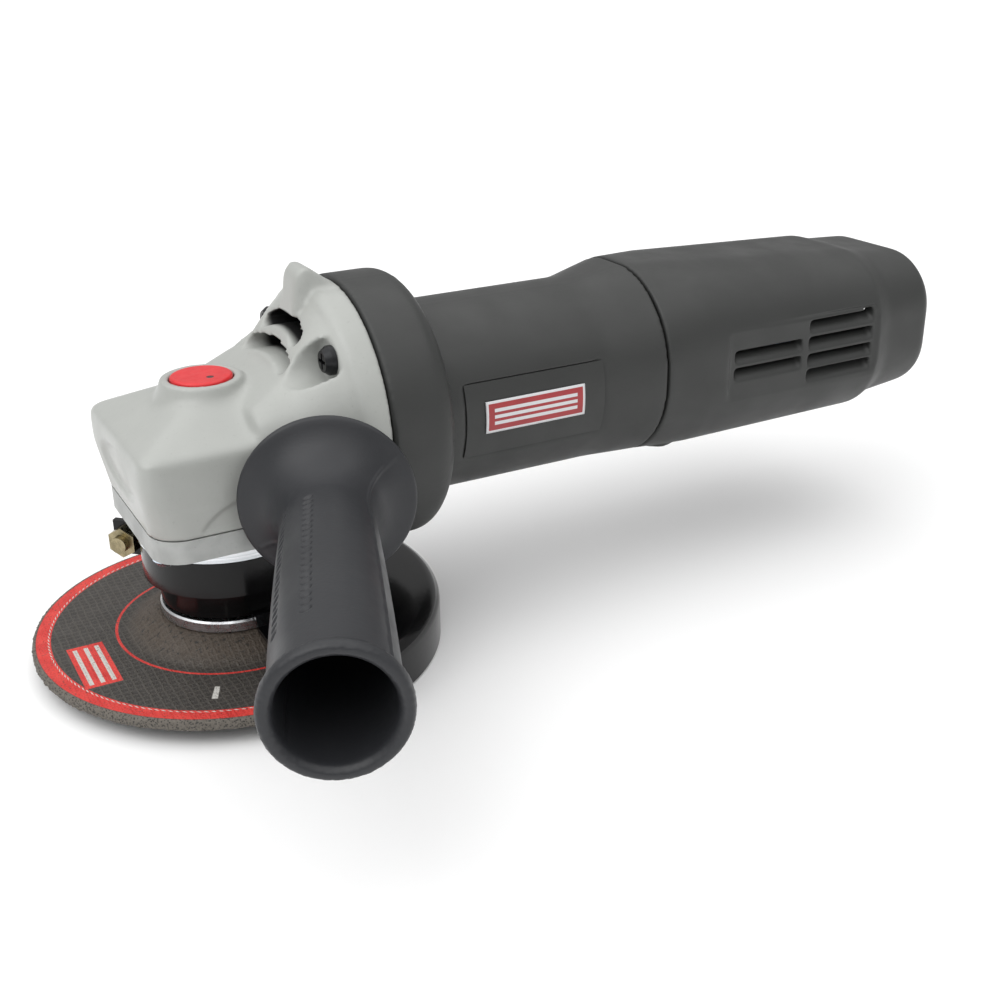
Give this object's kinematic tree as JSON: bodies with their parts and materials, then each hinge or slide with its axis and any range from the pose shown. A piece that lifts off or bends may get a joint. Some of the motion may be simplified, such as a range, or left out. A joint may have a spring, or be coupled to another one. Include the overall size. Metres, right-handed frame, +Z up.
{
  "type": "angle grinder",
  "caption": "Angle grinder for 115 mm wheels with bevel gear head, side handle, clamped wheel guard, spindle lock button and slide switch.",
  "frame": {"origin": "centre of the spindle nose's lower end face, on the spindle axis", "axes": "+Z up along the spindle, away from the wheel; +X along the body from the wheel to the rear end; +Y away from the side handle"},
  "size_m": [0.2971, 0.2031, 0.108],
  "materials": {
    "cast_paint": "satin light grey paint on cast aluminium",
    "machined_aluminium": "cast and machined",
    "zinc_steel": "bluish zinc plate",
    "black_steel": "black oxide",
    "bearing_steel": "ground steel",
    "bright_steel": "turned steel",
    "felt": "felt",
    "bronze": "sintered bronze",
    "body_plastic": "satin dark grey",
    "inner_plastic": "black",
    "core_steel": "laminated steel",
    "copper": "enamelled copper wire",
    "commutator_copper": "copper bars",
    "brass": "pressed brass",
    "soft_rubber": "black",
    "carbon": "graphite",
    "capacitor_plastic": "yellow",
    "button_plastic": "red",
    "switch_plastic": "black",
    "gear_steel": "hardened steel",
    "abrasive": "resin-bonded abrasive with a red band",
    "fan_plastic": "glass-filled nylon",
    "guard_paint": "gloss black",
    "handle_plastic": "satin bluish dark grey"
  },
  "bodies": {
    "grinder_body": {"gear_housing": "cast_paint", "bearing_cover": "machined_aluminium", "cover_screws": "zinc_steel", "body_screws": "black_steel", "spindle_bearing_outer": "bearing_steel", "spindle_bearing_balls": "bearing_steel", "bearing_retainer": "bright_steel", "felt_seal": "felt", "top_bush": "bronze", "front_bearing_outer": "bearing_steel", "front_bearing_balls": "bearing_steel", "front_bearing_plate": "bright_steel", "motor_housing": "body_plastic", "side_panel": "body_plastic", "air_baffle": "inner_plastic", "stator_core": "core_steel", "stator_windings": "copper", "rear_bearing_outer": "bearing_steel", "rear_bearing_balls": "bearing_steel", "rear_bearing_sleeve": "soft_rubber", "brush_holders": "brass", "brushes": "carbon", "brush_springs": "bright_steel", "rear_cover": "body_plastic", "rear_cover_screws": "black_steel", "cord_clamp": "inner_plastic", "cord_clamp_screws": "black_steel", "switch_body": "inner_plastic", "suppression_capacitor": "capacitor_plastic", "lock_spring": "bright_steel"},
    "spindle": {"spindle": "bright_steel", "crown_gear": "gear_steel", "gear_key": "bright_steel", "circlip": "black_steel", "spindle_bearing_inner": "bearing_steel", "inner_flange": "bright_steel", "cutting_wheel": "abrasive", "lock_nut": "black_steel"},
    "armature": {"armature_shaft": "bright_steel", "pinion": "gear_steel", "pinion_nut": "bright_steel", "fan": "fan_plastic", "armature_core": "core_steel", "armature_windings": "copper", "commutator": "commutator_copper", "front_bearing_inner": "bearing_steel", "rear_bearing_inner": "bearing_steel"},
    "spindle_lock": {"lock_button": "button_plastic", "lock_pin": "bright_steel"},
    "switch_slide": {"slide_button": "switch_plastic", "switch_rod": "inner_plastic"},
    "guard": {"wheel_guard": "guard_paint", "guard_clamp_band": "guard_paint", "clamp_screw": "zinc_steel", "clamp_nut": "zinc_steel"},
    "handle_seat": {"handle_washer": "zinc_steel"},
    "side_handle": {"side_handle": "handle_plastic", "handle_stud": "zinc_steel"}
  },
  "joints": [
    {"name": "spindle_spin", "type": "hinge", "parent": "grinder_body", "child": "spindle", "pos_m": [0, 0, 0], "axis": [0, 0, 1], "continuous": true},
    {"name": "armature_spin", "type": "hinge", "parent": "grinder_body", "child": "armature", "pos_m": [0.1, 0, 0.0642], "axis": [1, 0, 0], "continuous": true},
    {"name": "lock_button_press", "type": "slide", "parent": "grinder_body", "child": "spindle_lock", "axis": [0, 0, -1], "range_m": [0, 0.004], "stiffness_N_per_m": 800, "springref_m": -0.002, "deforming": ["lock_spring"]},
    {"name": "switch_slide_forward", "type": "slide", "parent": "grinder_body", "child": "switch_slide", "axis": [-1, 0, 0], "range_m": [0, 0.006], "stiffness_N_per_m": 300, "springref_m": -0.002},
    {"name": "guard_turn", "type": "hinge", "parent": "grinder_body", "child": "guard", "pos_m": [0, 0, 0.03], "axis": [0, 0, 1], "range_deg": [-60, 75]},
    {"name": "handle_travel", "type": "slide", "parent": "grinder_body", "child": "handle_seat", "axis": [-0.3633, -0.9317, 0], "range_m": [0, 0.0125]},
    {"name": "handle_screw", "type": "hinge", "parent": "handle_seat", "child": "side_handle", "pos_m": [0.0159, -0.0415, 0.0559], "axis": [-0.3633, -0.9317, 0], "range_deg": [0, 3636]}
  ],
  "couplings": [
    {"joint": "armature_spin", "follows": "spindle_spin", "ratio": 3.3636},
    {"joint": "handle_screw", "follows": "handle_travel", "rad_per_m": 5026.5}
  ]
}
